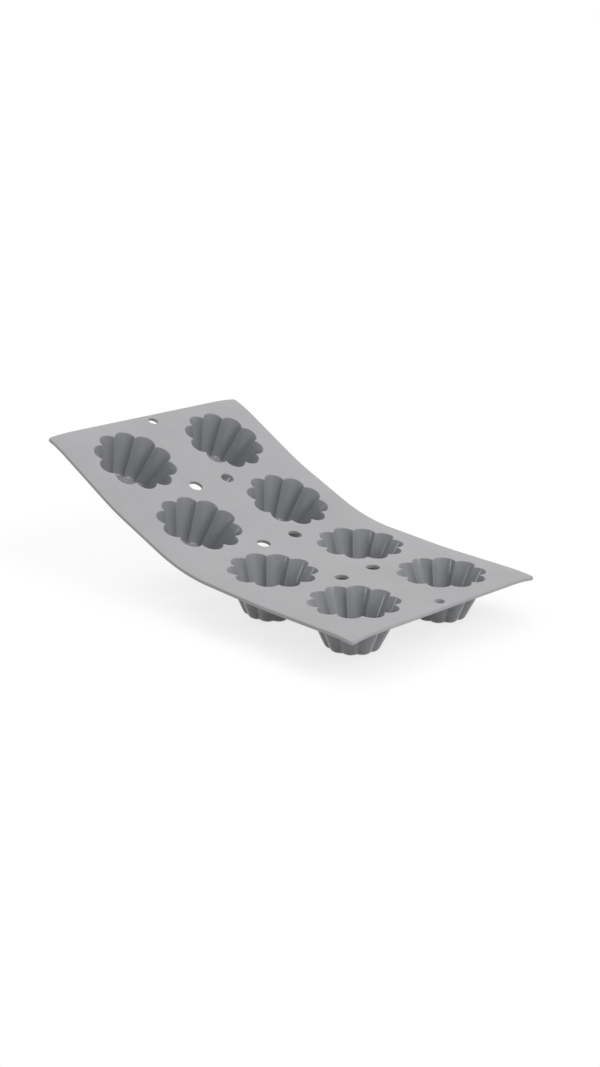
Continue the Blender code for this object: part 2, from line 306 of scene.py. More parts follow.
@dataclass(frozen=True)
class BentSheet:
    """The curve along which the flat sheet lies, with the droop of its free edges.

    Between two columns the sheet bends along an arc. `slopes` gives how steeply each column
    falls, in degrees, and `bend_reach` half the length of each arc. A droop grows with the
    square of the distance from the line where it starts, which its reach gives.
    """

    plan: SheetPlan
    origin: tuple[float, float]
    slopes: tuple[float, ...] = (27.5, 21.5, 2.5, 0.0)
    bend_reach: tuple[float, ...] = (12.0 * MM, 24.0 * MM, 12.0 * MM)
    lifted_end_droop: float = 1.8 * MM
    level_end_droop: float = 1.3 * MM
    side_droop: float = 1.8 * MM
    end_droop_reach: float = 20.0 * MM
    side_droop_reach: float = 22.0 * MM
    probe: float = 0.01 * MM
    straight: float = 1e-9

    @classmethod
    def on_joint(cls, plan: SheetPlan, joint: dict, bend: int) -> "BentSheet":
        """Place the curve so that one of its bend lines runs through its joint.

        Args:
            plan: The flat sheet.
            joint: The frame's joint at that bend.
            bend: Which bend it is, from the lifted end on.

        Returns:
            The sheet, where the CAD has it.
        """
        middle = np.array([[plan.bend_lines[bend], 0.0, -plan.thickness / 2]])
        at_zero = cls(plan, (0.0, 0.0)).lay(middle)[0]
        return cls(plan, (joint["pos_m"][0] - at_zero[0], joint["pos_m"][2] - at_zero[2]))

    def stretches(self) -> np.ndarray:
        """The curve as straight stretches and arcs.

        Returns:
            One row for each: its start along the sheet, its first point's place and height,
            its slope there, and how fast the slope falls.
        """
        slopes = [math.radians(slope) for slope in self.slopes]
        rows = [[0.0, *self.origin, slopes[0], 0.0]]
        for bend, line in enumerate(self.plan.bend_lines):
            reach = self.bend_reach[bend]
            fall = (slopes[bend] - slopes[bend + 1]) / (2 * reach)
            rows.append([line - reach, 0.0, 0.0, slopes[bend], fall])
            rows.append([line + reach, 0.0, 0.0, slopes[bend + 1], 0.0])
        for before, after in zip(rows, rows[1:]):
            place, height, _ = self.follow(np.array([before]), np.array([after[0]]))
            after[1:3] = [float(place[0]), float(height[0])]
        return np.array(rows)

    def follow(
        self, rows: np.ndarray, u: np.ndarray
    ) -> tuple[np.ndarray, np.ndarray, np.ndarray]:
        """Follow the curve to the places u.

        Args:
            rows: For each place, the stretch that it lies on.
            u: The places, along the sheet.

        Returns:
            Place, height and slope of the curve there.
        """
        start, place, height, slope, fall = rows.T
        run = u - start
        bent = np.abs(fall) > self.straight
        safe_fall = np.where(bent, fall, 1.0)
        end = slope - fall * run
        ahead = np.where(bent, (np.sin(slope) - np.sin(end)) / safe_fall, run * np.cos(slope))
        rise = np.where(bent, (np.cos(slope) - np.cos(end)) / safe_fall, -run * np.sin(slope))
        return place + ahead, height + rise, end

    def droop(self, u: np.ndarray, v: np.ndarray) -> np.ndarray:
        """How far the sheet hangs down near its free edges.

        Args:
            u: Places along the sheet.
            v: The same places across it.

        Returns:
            The droop at each place.
        """
        reach = self.end_droop_reach
        from_lifted = np.clip((reach - u) / reach, 0, None)
        from_level = np.clip((reach - (self.plan.length - u)) / reach, 0, None)
        side_reach = self.side_droop_reach
        from_side = np.clip((side_reach - (self.plan.half_width - np.abs(v))) / side_reach, 0, None)
        return (
            self.lifted_end_droop * from_lifted**2
            + self.level_end_droop * from_level**2
            + self.side_droop * from_side**2
        )

    def lay(self, flat: np.ndarray) -> np.ndarray:
        """Lay points of the flat sheet along the curve.

        Args:
            flat: Rows of u, v and w.

        Returns:
            Rows of x, y and z in the frame.
        """
        u, v, w = flat.T
        stretches = self.stretches()
        index = np.clip(np.searchsorted(stretches[:, 0], u, side="right") - 1, 0, None)
        place, height, slope = self.follow(stretches[index], u)
        w = w - self.droop(u, v)
        return np.stack([place + w * np.sin(slope), v, height + w * np.cos(slope)], 1)

    def lay_normals(self, flat: np.ndarray, normals: np.ndarray) -> np.ndarray:
        """Turn normals of the flat sheet as the curve turns them.

        Args:
            flat: Rows of u, v and w.
            normals: The normal at each of them.

        Returns:
            Unit normals in the frame.
        """
        columns = []
        for axis in range(3):
            step = np.zeros(3)
            step[axis] = self.probe
            columns.append((self.lay(flat + step) - self.lay(flat - step)) / (2 * self.probe))
        tangents = np.stack(columns, 1)
        turned = np.linalg.solve(tangents, normals[:, :, None])[:, :, 0]
        return turned / np.linalg.norm(turned, axis=1)[:, None]


def read_all(
    items: bpy.types.bpy_prop_collection, name: str, kind: type, width: int = 1
) -> np.ndarray:
    """Read one property of all vertices, corners or faces of a mesh.

    Args:
        items: The mesh's vertices, loops or polygons.
        name: The property.
        kind: The type of its numbers.
        width: How many numbers it has.

    Returns:
        One value for each item, or one row where a value has several numbers.
    """
    values = np.zeros(len(items) * width, kind)
    items.foreach_get(name, values)
    return values.reshape(-1, width) if width > 1 else values


@dataclass
class Corners:
    """The corners of a mesh's faces: each one's vertex, its face, and its two neighbours."""

    vertex: np.ndarray
    face: np.ndarray
    before: np.ndarray
    after: np.ndarray

    @classmethod
    def of_mesh(cls, mesh: bpy.types.Mesh) -> "Corners":
        """Read the corners of a mesh.

        Args:
            mesh: The mesh.

        Returns:
            Its corners, face by face.
        """
        starts = read_all(mesh.polygons, "loop_start", int)
        totals = read_all(mesh.polygons, "loop_total", int)
        face = np.repeat(np.arange(len(totals)), totals)
        start, total = starts[face], totals[face]
        place = np.arange(len(face)) - start
        before, after = start + (place - 1) % total, start + (place + 1) % total
        return cls(read_all(mesh.loops, "vertex_index", int), face, before, after)

    def angles(self, points: np.ndarray) -> np.ndarray:
        """Measure the corners.

        Args:
            points: The mesh's vertices.

        Returns:
            Each face's angle at each of its corners, in radians.
        """
        here = points[self.vertex]
        ahead = points[self.vertex[self.after]] - here
        behind = points[self.vertex[self.before]] - here
        sides = np.linalg.norm(ahead, axis=1) * np.linalg.norm(behind, axis=1)
        return np.arccos(np.clip((ahead * behind).sum(1) / np.maximum(sides, NOTHING), -1, 1))


@dataclass
class FlatMesh:
    """Vertices and faces of a piece in the flat state."""

    points: np.ndarray
    faces: list[tuple[int, ...]]

    @classmethod
    def joined(cls, parts: Iterable["FlatMesh"]) -> "FlatMesh":
        """Put several meshes into one, without welding them.

        Args:
            parts: The meshes, each in its place.

        Returns:
            One mesh of all of them.
        """
        points, faces, count = [], [], 0
        for part in parts:
            points.append(part.points)
            faces += [tuple(index + count for index in face) for face in part.faces]
            count += len(part.points)
        return cls(np.concatenate(points), faces)

    @classmethod
    def from_mesh(cls, mesh: bpy.types.Mesh) -> "FlatMesh":
        """Read a Blender mesh."""
        faces = [tuple(polygon.vertices) for polygon in mesh.polygons]
        return cls(read_all(mesh.vertices, "co", float, 3), faces)

    @classmethod
    def band(cls, rings: np.ndarray) -> "FlatMesh":
        """Faces between rings that all have the same number of points and are closed.

        Args:
            rings: Points, by ring, then by place round the ring.

        Returns:
            The band of faces.
        """
        count, around = rings.shape[:2]
        faces = []
        for ring in range(count - 1):
            for place in range(around):
                after = (place + 1) % around
                first, second = ring * around, (ring + 1) * around
                faces.append((first + place, first + after, second + after, second + place))
        return cls(rings.reshape(-1, 3), faces)

    def moved(self, u: float, v: float) -> "FlatMesh":
        """The same mesh at another place of the sheet."""
        return FlatMesh(self.points + (u, v, 0.0), self.faces)

    def to_mesh(self, name: str) -> bpy.types.Mesh:
        """Make a closed Blender mesh: welded, with its faces pointing outwards.

        Args:
            name: The mesh's name, which a warning about open edges gives too.

        Returns:
            The mesh.
        """
        mesh = bpy.data.meshes.new(name)
        mesh.from_pydata(self.points.tolist(), [], self.faces)
        solid = bmesh.new()
        solid.from_mesh(mesh)
        bmesh.ops.remove_doubles(solid, verts=solid.verts[:], dist=WELD)
        bmesh.ops.recalc_face_normals(solid, faces=solid.faces[:])
        open_edges = sum(not edge.is_manifold for edge in solid.edges)
        if open_edges:
            log.warning("%s has %d open edges", name, open_edges)
        solid.to_mesh(mesh)
        solid.free()
        return mesh


class RepeatTree:
    """Geometry nodes that repeat a feature: flutes round a cup, or holes along a line."""

    def __init__(self) -> None:
        """Build the tree with its named inputs."""
        tree = bpy.data.node_groups.new("repeated_feature", "GeometryNodeTree")
        tree.is_modifier = True
        sockets = (
            ("Feature", "NodeSocketGeometry"),
            ("Copies", "NodeSocketInt"),
            ("Turn", "NodeSocketFloat"),
            ("Spacing", "NodeSocketFloat"),
            ("Weld", "NodeSocketFloat"),
            ("Finish", "NodeSocketMaterial"),
        )
        for name, kind in sockets:
            tree.interface.new_socket(name, in_out="INPUT", socket_type=kind)
        tree.interface.new_socket("Mesh", in_out="OUTPUT", socket_type="NodeSocketGeometry")
        given = add_node(tree, "NodeGroupInput").outputs
        index = add_node(tree, "GeometryNodeInputIndex").outputs[0]
        last = add_node(
            tree, "ShaderNodeMath", {0: given["Copies"], 1: 1.0}, operation="SUBTRACT"
        )
        middle = add_node(tree, "ShaderNodeMath", {0: last.outputs[0], 1: 0.5}, operation="MULTIPLY")
        steps = add_node(
            tree, "ShaderNodeMath", {0: index, 1: middle.outputs[0]}, operation="SUBTRACT"
        )
        across = add_node(
            tree,
            "ShaderNodeMath",
            {0: steps.outputs[0], 1: given["Spacing"]},
            operation="MULTIPLY",
        )
        half_on = add_node(tree, "ShaderNodeMath", {0: index, 1: 0.5}, operation="ADD")
        turn = add_node(
            tree, "ShaderNodeMath", {0: half_on.outputs[0], 1: given["Turn"]}, operation="MULTIPLY"
        )
        place = add_node(tree, "ShaderNodeCombineXYZ", {"Y": across.outputs[0]})
        rotation = add_node(tree, "ShaderNodeCombineXYZ", {"Z": turn.outputs[0]})
        points = add_node(
            tree, "GeometryNodePoints", {"Count": given["Copies"], "Position": place.outputs[0]}
        )
        copies = add_node(
            tree,
            "GeometryNodeInstanceOnPoints",
            {
                "Points": points.outputs[0],
                "Instance": given["Feature"],
                "Rotation": rotation.outputs[0],
            },
        )
        real = add_node(tree, "GeometryNodeRealizeInstances", {0: copies.outputs[0]})
        welded = add_node(
            tree,
            "GeometryNodeMergeByDistance",
            {"Geometry": real.outputs[0], "Distance": given["Weld"]},
        )
        finished = add_node(
            tree,
            "GeometryNodeSetMaterial",
            {"Geometry": welded.outputs[0], "Material": given["Finish"]},
        )
        add_node(tree, "NodeGroupOutput", {0: finished.outputs[0]})
        self.tree = tree

    def repeat(self, feature: FlatMesh, **inputs: object) -> bpy.types.Mesh:
        """Repeat a feature.

        Args:
            feature: The mesh of one copy, about the origin.
            inputs: Values for the tree's inputs, by their names.

        Returns:
            A plain mesh of all the copies, welded where they meet.
        """
        source = bpy.data.meshes.new("one_feature")
        source.from_pydata(feature.points.tolist(), [], feature.faces)
        carrier = bpy.data.objects.new("one_feature", source)
        bpy.context.scene.collection.objects.link(carrier)
        modifier = carrier.modifiers.new("repeat", "NODES")
        modifier.node_group = self.tree
        for socket in self.tree.interface.items_tree:
            if socket.in_out == "INPUT" and socket.name in inputs:
                modifier[socket.identifier] = inputs[socket.name]
        graph = bpy.context.evaluated_depsgraph_get()
        mesh = bpy.data.meshes.new_from_object(carrier.evaluated_get(graph), depsgraph=graph)
        bpy.data.objects.remove(carrier)
        bpy.data.meshes.remove(source)
        return mesh


@dataclass(frozen=True)
class SiliconeFinish:
    """Platinum-cured silicone rubber, dyed neutral grey and pressed in a steel tool.

    The tool's blasted faces leave the deck fine and matt. Its turned and polished cores leave
    the cups satin, with faint upright marks along the flutes. Clouds are soft changes of tone,
    from the light colour to the dark one, as silicone shows when it is lit from the side.
    """

    name: str
    slot: str
    light: str
    dark: str
    roughness: float
    roughness_spread: float
    ior: float = 1.41
    cloud_size: float = 38 * MM
    grain_size: float = 0.9 * MM
    grain_height: float = 0.006 * MM
    streak_size: float = 1.6 * MM
    streak_stretch: float = 0.03
    streak_share: float = 0.0
    streak_height: float = 0.0

    def material(self) -> bpy.types.Material:
        """Make the material.

        Returns:
            A material whose patterns read the piece's own coordinates.
        """
        material = bpy.data.materials.new(self.name)
        material.use_nodes = True
        tree = material.node_tree
        tree.nodes.clear()
        place = add_node(tree, "ShaderNodeTexCoord").outputs["Object"]
        # Real grain is about 0.05 mm. It is drawn coarser here, or no render would show it.
        grain = add_node(
            tree,
            "ShaderNodeTexNoise",
            {"Vector": place, "Scale": 1 / self.grain_size, "Detail": 3.0, "Roughness": 0.6},
        ).outputs["Fac"]
        cloud = add_node(
            tree,
            "ShaderNodeTexNoise",
            {"Vector": place, "Scale": 1 / self.cloud_size, "Detail": 4.0, "Roughness": 0.55},
        ).outputs["Fac"]
        tone = add_node(
            tree, "ShaderNodeMapRange", {"Value": cloud, **NOISE_RANGE}
        ).outputs["Result"]
        height = add_node(
            tree, "ShaderNodeMath", {0: grain, 1: self.grain_height}, operation="MULTIPLY"
        ).outputs[0]
        if self.streak_share:
            streak = self.streaks(tree)
            tone = add_node(
                tree,
                "ShaderNodeMix",
                {"Factor": self.streak_share, "A": tone, "B": streak},
            ).outputs["Result"]
            height = add_node(
                tree,
                "ShaderNodeMath",
                {0: streak, 1: self.streak_height, 2: height},
                operation="MULTIPLY_ADD",
            ).outputs[0]
        # A mix node's colours have the names of its numbers, so they go by their places.
        colour = add_node(
            tree,
            "ShaderNodeMix",
            {"Factor": tone, 6: linear(self.light), 7: linear(self.dark)},
            data_type="RGBA",
        ).outputs[2]
        roughness = add_node(
            tree,
            "ShaderNodeMapRange",
            {
                "Value": grain,
                **NOISE_RANGE,
                "To Min": self.roughness - self.roughness_spread,
                "To Max": self.roughness + self.roughness_spread,
            },
        ).outputs["Result"]
        bump = add_node(
            tree, "ShaderNodeBump", {"Height": height, "Distance": 1.0, "Strength": 1.0}
        )
        shader = add_node(
            tree,
            "ShaderNodeBsdfPrincipled",
            {
                "Base Color": colour,
                "Roughness": roughness,
                "Normal": bump.outputs["Normal"],
                "IOR": self.ior,
            },
        )
        add_node(tree, "ShaderNodeOutputMaterial", {"Surface": shader.outputs["BSDF"]})
        return material

    def streaks(self, tree: bpy.types.NodeTree) -> bpy.types.NodeSocket:
        """Add the upright marks that a core's polishing leaves along the flutes.

        Args:
            tree: The material's tree.

        Returns:
            The marks, from 0 to 1.
        """
        # Real polishing marks are about 0.2 mm apart. They too are drawn coarser, to show.
        run = add_node(
            tree, "ShaderNodeAttribute", attribute_name=FLUTE_ATTRIBUTE
        ).outputs["Vector"]
        mapped = add_node(
            tree, "ShaderNodeMapping", {"Vector": run, "Scale": (1.0, 1.0, self.streak_stretch)}
        ).outputs["Vector"]
        noise = add_node(
            tree,
            "ShaderNodeTexNoise",
            {"Vector": mapped, "Scale": 1 / self.streak_size, "Detail": 2.0},
        ).outputs["Fac"]
        return add_node(
            tree, "ShaderNodeMapRange", {"Value": noise, **NOISE_RANGE}
        ).outputs["Result"]


# Silicone off a blasted tool face: an even grey, with no highlight that the eye can follow.
MATT_DECK = SiliconeFinish(
    name="matt_moulded_silicone",
    slot="silicone_deck",
    light="AFAFB1",
    dark="A9A9AB",
    roughness=0.6,
    roughness_spread=0.04,
)
# Silicone off a polished core: satin, with a soft highlight along each ridge and rim. Its colour is
# darker than the deck's, though it is the same silicone: painted shade of the cups' hollows.
SHADED_SATIN_CUP = SiliconeFinish(
    name="satin_moulded_silicone",
    slot="silicone_cup",
    light="999A9C",
    dark="909294",
    roughness=0.19,
    roughness_spread=0.02,
    streak_share=0.6,
    streak_height=0.006 * MM,
)


class Piece:
    """A piece of the mould: a flat mesh that is laid along the bent sheet and dressed.

    A face lies level where its normal's w passes `level_from`. It keeps its own normal in the
    shading where that and its neighbours' mean have a cosine below `smooth_from`.
    """

    level_from = 0.999
    smooth_from = 0.5

    def __init__(self, name: str, node: str, finish: SiliconeFinish, sheet: BentSheet) -> None:
        """Remember what the piece is.

        Args:
            name: The piece's name.
            node: The CAD node that it stands for.
            finish: Its finish.
            sheet: The sheet that it is laid along.
        """
        self.name = name
        self.node = node
        self.finish = finish
        self.sheet = sheet

    def lay(
        self, mesh: bpy.types.Mesh, material: bpy.types.Material, hidden: np.ndarray
    ) -> bpy.types.Object:
        """Lay the flat mesh along the sheet, with shading that ignores its hidden borders.

        Args:
            mesh: The piece in the flat state, closed, at its place on the sheet.
            material: Its material.
            hidden: For each face, whether it lies against the next piece.

        Returns:
            The finished object, at the origin, with its place in its mesh.
        """
        flat = read_all(mesh.vertices, "co", float, 3)
        corners = Corners.of_mesh(mesh)
        normals = self.flat_normals(mesh, flat, corners, hidden)
        laid_normals = self.sheet.lay_normals(flat[corners.vertex], normals)
        mesh.vertices.foreach_set("co", self.sheet.lay(flat).ravel())
        mesh.shade_smooth()
        mesh.update()
        mesh.normals_split_custom_set(laid_normals.tolist())
        mesh.materials.clear()
        mesh.materials.append(material)
        piece = bpy.data.objects.new(self.name, mesh)
        bpy.context.scene.collection.objects.link(piece)
        return piece

    def flat_normals(
        self, mesh: bpy.types.Mesh, flat: np.ndarray, corners: Corners, hidden: np.ndarray
    ) -> np.ndarray:
        """Work out the shading normals in the flat state.

        A vertex on the sheet's upper or lower face looks straight up or down. Any other
        vertex gets the mean of the visible faces round it, each by its angle there.

        Args:
            mesh: The piece in the flat state.
            flat: Its vertices.
            corners: Its faces' corners.
            hidden: For each face, whether it lies against the next piece.

        Returns:
            The normal at each corner.
        """
        face_normals = read_all(mesh.polygons, "normal", float, 3)
        own = face_normals[corners.face]
        at_hidden = hidden[corners.face]
        means = np.zeros_like(flat)
        shares = corners.angles(flat) * ~at_hidden
        np.add.at(means, corners.vertex, own * shares[:, None])
        at_level = np.abs(own[:, 2]) > self.level_from
        seam = np.zeros(len(flat), bool)
        seam[corners.vertex[at_hidden | at_level]] = True
        thickness = self.sheet.plan.thickness
        means[seam & (np.abs(flat[:, 2]) < WELD)] = (0, 0, 1)
        means[seam & (np.abs(flat[:, 2] + thickness) < WELD)] = (0, 0, -1)
        lengths = np.linalg.norm(means, axis=1)[:, None]
        means = means / np.where(lengths > NOTHING, lengths, 1.0)
        mean = means[corners.vertex]
        turned_away = (mean * own).sum(1) < self.smooth_from
        return np.where((turned_away | at_hidden)[:, None], own, mean)

    def stand_for_node(self, piece: bpy.types.Object) -> None:
        """Hide the CAD node that the piece stands for.

        Args:
            piece: The finished object.
        """
        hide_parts(self.node)
        log.info("%s: %d faces", piece.name, len(piece.data.polygons))


def hidden_faces(mesh: bpy.types.Mesh, borders: list[float], thickness: float) -> np.ndarray:
    """Find the faces that lie against a neighbouring piece.

    Args:
        mesh: A piece in the flat state.
        borders: Places along the sheet where the piece meets the next one.
        thickness: The sheet's thickness. A face that spans it all at once is hidden too.

    Returns:
        For each face, whether it is hidden.
    """
    hidden = []
    for polygon in mesh.polygons:
        points = [mesh.vertices[index].co for index in polygon.vertices]
        at_border = any(
            all(abs(point.x - border) < WELD for point in points) for border in borders
        )
        heights = [point.z for point in points]
        spans = abs(max(heights)) < WELD and abs(min(heights) + thickness) < WELD
        hidden.append(at_border or spans)
    return np.array(hidden)


def fillet(radius: float, lean: float, steps: int) -> list[tuple[float, float]]:
    """Round the angle between a level face and a wall that leans away from it.

    Args:
        radius: Radius of the round.
        lean: The wall's angle from upright.
        steps: Number of facets.

    Returns:
        For each point, from the level face to the wall: its distance from the level face,
        and its distance from the wall, measured level.
    """
    turns = [(math.pi / 2 - lean) * step / steps for step in range(steps + 1)]
    tangent = radius * math.tan((math.pi / 2 - lean) / 2)
    points = []
    for turn in turns:
        drop = radius * (1 - math.cos(turn))
        points.append((drop, tangent - radius * math.sin(turn) + drop * math.tan(lean)))
    return points


@dataclass(frozen=True)
class CupSection:
    """The cup's section: cavity, rim, outer wall and underside, with all their rounds.

    A ring of the section is given by its depth, how far it is moved out from the cavity's
    wall, and the radius that rounds its ridges.
    """

    flutes: FluteShape = SheetPlan.flutes
    sheet_thickness: float = SheetPlan.thickness
    wall: float = 1.8 * MM
    floor: float = 2.0 * MM
    rim_round: float = 0.7 * MM
    underside_round: float = 1.0 * MM
    inside_fillet: float = 2.5 * MM
    outside_fillet: float = 4.0 * MM
    ridge_round: float = 0.45 * MM
    valley_round: float = 0.8 * MM
    least_round: float = 0.12 * MM
    wall_steps: int = 6
    fillet_steps: int = 5
    floor_shares: tuple[float, ...] = (0.3, 0.65)

    def rim(self) -> list[tuple[float, float, float]]:
        """Rings over the rim.

        Returns:
            The rings, from the cavity's wall to the sheet's upper face.
        """
        rings = []
        for drop, off in reversed(fillet(self.rim_round, self.flutes.lean, self.fillet_steps)):
            rings.append((drop, off, max(self.ridge_round - off, self.least_round)))
        return rings

    def underside(self) -> list[tuple[float, float, float]]:
        """Rings below the sheet.

        Returns:
            The rings, from the sheet's lower face to the cup's outer wall.
        """
        rings = []
        for drop, off in fillet(self.underside_round, self.flutes.lean, self.fillet_steps):
            valley = max(self.valley_round - off, self.least_round)
            rings.append((self.sheet_thickness + drop, self.wall + off, valley))
        return rings

    def rings(self) -> list[tuple[float, float, float]]:
        """All rings of the section.

        Returns:
            The rings, from the cavity's floor over the rim to the cup's underside.
        """
        lean = self.flutes.lean
        depth = self.flutes.depth
        inside = []
        for drop, off in fillet(self.inside_fillet, lean, self.fillet_steps):
            inside.append((depth - drop, -off, self.ridge_round + off))
        outside = []
        for drop, off in reversed(fillet(self.outside_fillet, lean, self.fillet_steps)):
            outside.append((depth + self.floor - drop, self.wall - off, self.valley_round + off))
        rim, underside = self.rim(), self.underside()
        inner_wall = np.linspace(inside[-1][0], rim[0][0], self.wall_steps + 1)[1:-1]
        outer_wall = np.linspace(underside[-1][0], outside[0][0], self.wall_steps + 1)[1:-1]
        return [
            *inside,
            *[(float(step), 0.0, self.ridge_round) for step in inner_wall],
            *rim,
            *underside,
            *[(float(step), self.wall, self.valley_round) for step in outer_wall],
            *outside,
        ]

    def one_flute(self) -> FlatMesh:
        """Model one flute of the cup, from the middle of one ridge to the next.

        Returns:
            A wedge-shaped shell about the cup's axis, closed but for its two sides.
        """
        rows = []
        rings = self.rings()
        for share in self.floor_shares:
            rows.append(self.row(rings[0], share))
        rows += [self.row(ring, 1.0) for ring in rings]
        for share in reversed(self.floor_shares):
            rows.append(self.row(rings[-1], share))
        count = len(rows[0])
        poles = np.array([[0, 0, rows[0][0, 2]], [0, 0, rows[-1][0, 2]]])
        points = np.concatenate([*rows, poles])
        faces: list[tuple[int, ...]] = []
        for row in range(len(rows) - 1):
            for place in range(count - 1):
                first = row * count + place
                faces.append((first, first + 1, first + count + 1, first + count))
        top_pole, low_pole = len(points) - 2, len(points) - 1
        last = (len(rows) - 1) * count
        for place in range(count - 1):
            faces.append((top_pole, place + 1, place))
            faces.append((low_pole, last + place, last + place + 1))
        return FlatMesh(points, faces)

    def row(self, ring: tuple[float, float, float], share: float) -> np.ndarray:
        """Points of one flute at a ring.

        Args:
            ring: The ring.
            share: How far the points stay out, from 0 on the cup's axis to 1 on the ring.

        Returns:
            Rows of u, v and w, about the cup's axis.
        """
        depth, outwards, ridge = ring
        plan = self.flutes.one_lobe(depth, outwards, ridge) * share
        return np.column_stack([plan, np.full(len(plan), -depth)])


class Cup(Piece):
    """One fluted cup, from the rim of its mouth to its underside."""

    def __init__(self, column: int, row: Row, section: CupSection, sheet: BentSheet) -> None:
        """Name the cup by its row and column.

        Args:
            column: Its column, from 0 at the lifted end.
            row: Its row.
            section: The section of every cup.
            sheet: The sheet that it is laid along.
        """
        label = f"{row.name.lower()}_{column + 1}"
        super().__init__(f"brioche_cup_{label}", f"cup_{label}", SHADED_SATIN_CUP, sheet)
        self.column = column
        self.row = row
        self.section = section

    def build(self, flat_cup: bpy.types.Mesh, material: bpy.types.Material) -> bpy.types.Object:
        """Lay a copy of the flat cup at this cup's place.

        Args:
            flat_cup: The cup in the flat state, about its own axis.
            material: Its material.

        Returns:
            The finished cup.
        """
        plan = self.sheet.plan
        mesh = flat_cup.copy()
        mesh.name = self.name
        self.mark_flutes(mesh)
        u = plan.column_centres[self.column]
        v = self.row.value * plan.row_offset
        mesh.transform(Matrix.Translation((u, v, 0.0)))
        hidden = hidden_faces(mesh, [], plan.thickness)
        return self.lay(mesh, material, hidden)

    def mark_flutes(self, mesh: bpy.types.Mesh) -> None:
        """Store where each vertex lies round and down the cup, for the upright marks.

        The place round the cup is kept as a point on a circle as wide as the cup's mouth, so
        that the marks follow the walls' taper and have no seam. On the level floor the circle
        closes with the distance from the axis, so that no marks run together there.

        Args:
            mesh: The cup in the flat state, about its own axis.
        """
        run = mesh.attributes.new(FLUTE_ATTRIBUTE, "FLOAT_VECTOR", "POINT")
        flutes = self.section.flutes
        floor_edge = flutes.floor_cusp - self.section.inside_fillet
        for vertex, value in zip(mesh.vertices, run.data):
            away = math.hypot(vertex.co.x, vertex.co.y)
            turn = math.atan2(vertex.co.y, vertex.co.x)
            radius = flutes.rim_cusp * min(away / floor_edge, 1.0)
            value.vector = (radius * math.cos(turn), radius * math.sin(turn), vertex.co.z)


@dataclass(frozen=True)
class SheetEdge:
    """How the sheet's free edges are rounded, and how finely edges and holes are divided."""

    outer_round: float = 0.45 * MM
    hole_round: float = 0.25 * MM
    steps: int = 3
    pitch: float = 2.4 * MM
    hole_segments: int = 48
    corner_segments: int = 6

    def rings(
        self, outline: np.ndarray, inward: np.ndarray, rounded: float, thickness: float
    ) -> np.ndarray:
        """Rings over a free edge, from the upper face round to the lower one.

        Args:
            outline: The edge's points in plan.
            inward: For each point, the way into the material, zero where the edge isn't free.
            rounded: Radius of the edge's rounds.
            thickness: The sheet's thickness.

        Returns:
            Points by ring, then by place round the edge.
        """
        turns = [math.pi / 2 * step / self.steps for step in range(self.steps + 1)]
        drops = [rounded * (1 - math.cos(turn)) for turn in turns]
        insets = [rounded * (1 - math.sin(turn)) for turn in turns]
        levels = [-drop for drop in drops] + [drop - thickness for drop in reversed(drops)]
        rings = []
        for level, inset in zip(levels, insets + insets[::-1]):
            plan = outline + inward * inset
            rings.append(np.column_stack([plan, np.full(len(plan), level)]))
        return np.array(rings)

    def collar(self, diameter: float, thickness: float) -> np.ndarray:
        """Rings of a round hole's wall.

        Args:
            diameter: The hole's diameter.
            thickness: The sheet's thickness.

        Returns:
            Points by ring, then by place round the hole, about the origin.
        """
        turns = 2 * math.pi * np.arange(self.hole_segments) / self.hole_segments
        outward = np.stack([np.cos(turns), np.sin(turns)], 1)
        return self.rings(outward * diameter / 2, outward, self.hole_round, thickness)


def crossings(points: np.ndarray, loops: list[np.ndarray]) -> np.ndarray:
    """Find which points lie in the sheet, inside its outline and outside its holes.

    Args:
        points: Places in plan.
        loops: The outline and the holes.

    Returns:
        For each point, whether it lies in the sheet.
    """
    count = np.zeros(len(points), int)
    for loop in loops:
        start, end = loop, np.roll(loop, -1, axis=0)
        for (u0, v0), (u1, v1) in zip(start, end):
            if v0 == v1:
                continue
            straddles = (v0 > points[:, 1]) != (v1 > points[:, 1])
            at_u = u0 + (points[:, 1] - v0) * (u1 - u0) / (v1 - v0)
            count += straddles & (points[:, 0] < at_u)
    return count % 2 == 1


def filled(loops: list[np.ndarray], pitch: float) -> FlatMesh:
    """Fill a level face of the sheet, between its outline and its holes, with even triangles.

    The points in between keep clear of the outline and the holes, by shares of their pitch,
    so that no triangle gets thin.

    Args:
        loops: The outline and the holes, each as points in plan with their w.
        pitch: Spacing of the points in between.

    Returns:
        The filled face.
    """
    level = loops[0][0, 2]
    plans = [loop[:, :2] for loop in loops]
    edge_points = np.concatenate(plans)
    margin = 0.4 * pitch
    clearance = 0.6 * pitch
    low, high = plans[0].min(0) + margin, plans[0].max(0) - margin
    columns = np.arange(low[0], high[0], pitch)
    rows = np.arange(low[1], high[1], pitch * math.sqrt(3) / 2)
    grid = np.array(
        [(u + (pitch / 2 if odd % 2 else 0.0), v) for odd, v in enumerate(rows) for u in columns]
    )
    grid = grid[crossings(grid, plans) & (grid[:, 0] < high[0])]
    gaps = np.linalg.norm(grid[:, None] - edge_points[None], axis=2).min(1)
    points = np.concatenate([edge_points, grid[gaps > clearance]])
    edges, count = [], 0
    for plan in plans:
        edges += [(count + at, count + (at + 1) % len(plan)) for at in range(len(plan))]
        count += len(plan)
    # Worked out in millimetres, because the triangulation's least distance suits those.
    coords = [Vector(point) for point in (points / MM).tolist()]
    whole_hull, least_distance = 0, 1e-6
    made = geometry.delaunay_2d_cdt(coords, edges, [], whole_hull, least_distance)
    places = np.array([tuple(vertex) for vertex in made[0]]) * MM
    faces = np.array([tuple(face) for face in made[2]])
    inside = crossings(places[faces].mean(1), plans)
    points = np.column_stack([places, np.full(len(places), level)])
    return FlatMesh(points, [tuple(face) for face in faces[inside].tolist()])


